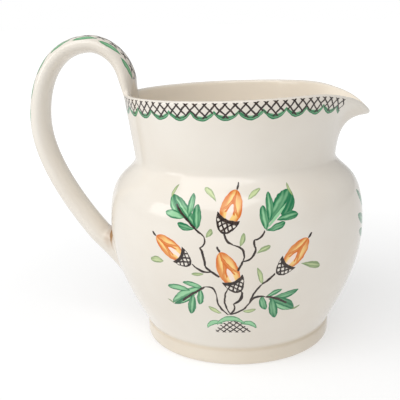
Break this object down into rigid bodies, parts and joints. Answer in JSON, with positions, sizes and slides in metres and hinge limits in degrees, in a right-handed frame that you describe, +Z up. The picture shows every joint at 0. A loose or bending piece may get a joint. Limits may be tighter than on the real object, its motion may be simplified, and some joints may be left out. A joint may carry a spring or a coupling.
{
  "type": "earthenware pitcher",
  "caption": "Round-bellied glazed pitcher with a flared neck, pulled spout, high looped strap handle and painted acorn-and-leaf spray.",
  "frame": {"origin": "centre of the flat underside, on the axis of the belly", "axes": "+Z up out of the mouth, +X towards the spout, handle along -X"},
  "size_m": [0.2012, 0.15, 0.1802],
  "materials": {
    "glaze": "clear gloss glaze over a cream body, painted under the glaze"
  },
  "bodies": {
    "root": {"pitcher": "glaze"}
  },
  "joints": []
}
